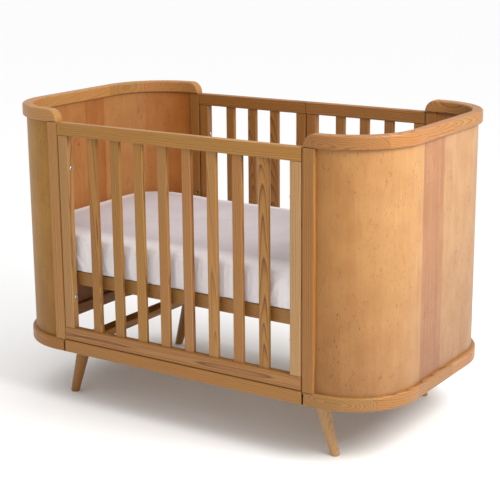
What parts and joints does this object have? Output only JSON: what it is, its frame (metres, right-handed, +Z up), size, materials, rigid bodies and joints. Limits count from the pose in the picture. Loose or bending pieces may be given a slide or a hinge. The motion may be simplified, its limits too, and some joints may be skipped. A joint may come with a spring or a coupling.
{
  "type": "baby crib",
  "caption": "Oval baby crib with bent-plywood ends, slatted wooden sides, splayed legs, a height-adjustable base and a mattress.",
  "frame": {"origin": "on the floor under the middle of the crib", "axes": "+X along the crib's length, +Y from the front side to the rear side, +Z up"},
  "size_m": [1.248, 0.7, 0.855],
  "materials": {
    "solid_wood": "satin",
    "slat_wood": "satin",
    "cap_rail_wood": "satin",
    "bent_veneer": "satin",
    "leg_wood": "satin",
    "deck_plywood": "matte",
    "mattress_fabric": "matte",
    "bolt_steel": "satin"
  },
  "bodies": {
    "crib_frame": {"left_end_panel": "bent_veneer", "left_cap_rail": "cap_rail_wood", "left_base_rail": "solid_wood", "left_leg_beam": "solid_wood", "right_end_panel": "bent_veneer", "right_cap_rail": "cap_rail_wood", "right_base_rail": "solid_wood", "right_leg_beam": "solid_wood", "front_left_post": "solid_wood", "front_left_leg": "leg_wood", "front_left_upper_bolt": "bolt_steel", "front_left_lower_bolt": "bolt_steel", "front_right_post": "solid_wood", "front_right_leg": "leg_wood", "front_right_upper_bolt": "bolt_steel", "front_right_lower_bolt": "bolt_steel", "rear_left_post": "solid_wood", "rear_left_leg": "leg_wood", "rear_left_upper_bolt": "bolt_steel", "rear_left_lower_bolt": "bolt_steel", "rear_right_post": "solid_wood", "rear_right_leg": "leg_wood", "rear_right_upper_bolt": "bolt_steel", "rear_right_lower_bolt": "bolt_steel", "rear_middle_upper_bolt": "bolt_steel", "rear_middle_lower_bolt": "bolt_steel", "front_plinth": "solid_wood", "rear_plinth": "solid_wood", "front_top_rail": "solid_wood", "front_bottom_rail": "solid_wood", "front_left_stile": "solid_wood", "front_right_stile": "solid_wood", "front_slat_1": "slat_wood", "front_slat_2": "slat_wood", "front_slat_3": "slat_wood", "front_slat_4": "slat_wood", "front_slat_5": "slat_wood", "front_slat_6": "slat_wood", "front_slat_7": "slat_wood", "front_slat_8": "slat_wood", "rear_left_top_rail": "solid_wood", "rear_left_bottom_rail": "solid_wood", "rear_left_outer_stile": "solid_wood", "rear_left_inner_stile": "solid_wood", "rear_left_slat_1": "slat_wood", "rear_left_slat_2": "slat_wood", "rear_left_slat_3": "slat_wood", "rear_right_top_rail": "solid_wood", "rear_right_bottom_rail": "solid_wood", "rear_right_inner_stile": "solid_wood", "rear_right_outer_stile": "solid_wood", "rear_right_slat_1": "slat_wood", "rear_right_slat_2": "slat_wood", "rear_right_slat_3": "slat_wood"},
    "mattress_base": {"base_front_rail": "solid_wood", "base_rear_rail": "solid_wood", "base_left_rail": "solid_wood", "base_right_rail": "solid_wood", "base_deck": "deck_plywood"},
    "mattress": {"mattress": "mattress_fabric"}
  },
  "joints": [
    {"name": "base_height", "type": "slide", "parent": "crib_frame", "child": "mattress_base", "axis": [0, 0, 1], "range_m": [-0.172, 0.128]},
    {"name": "mattress_lift", "type": "slide", "parent": "mattress_base", "child": "mattress", "axis": [0, 0, 1], "range_m": [0, 0.47]}
  ]
}
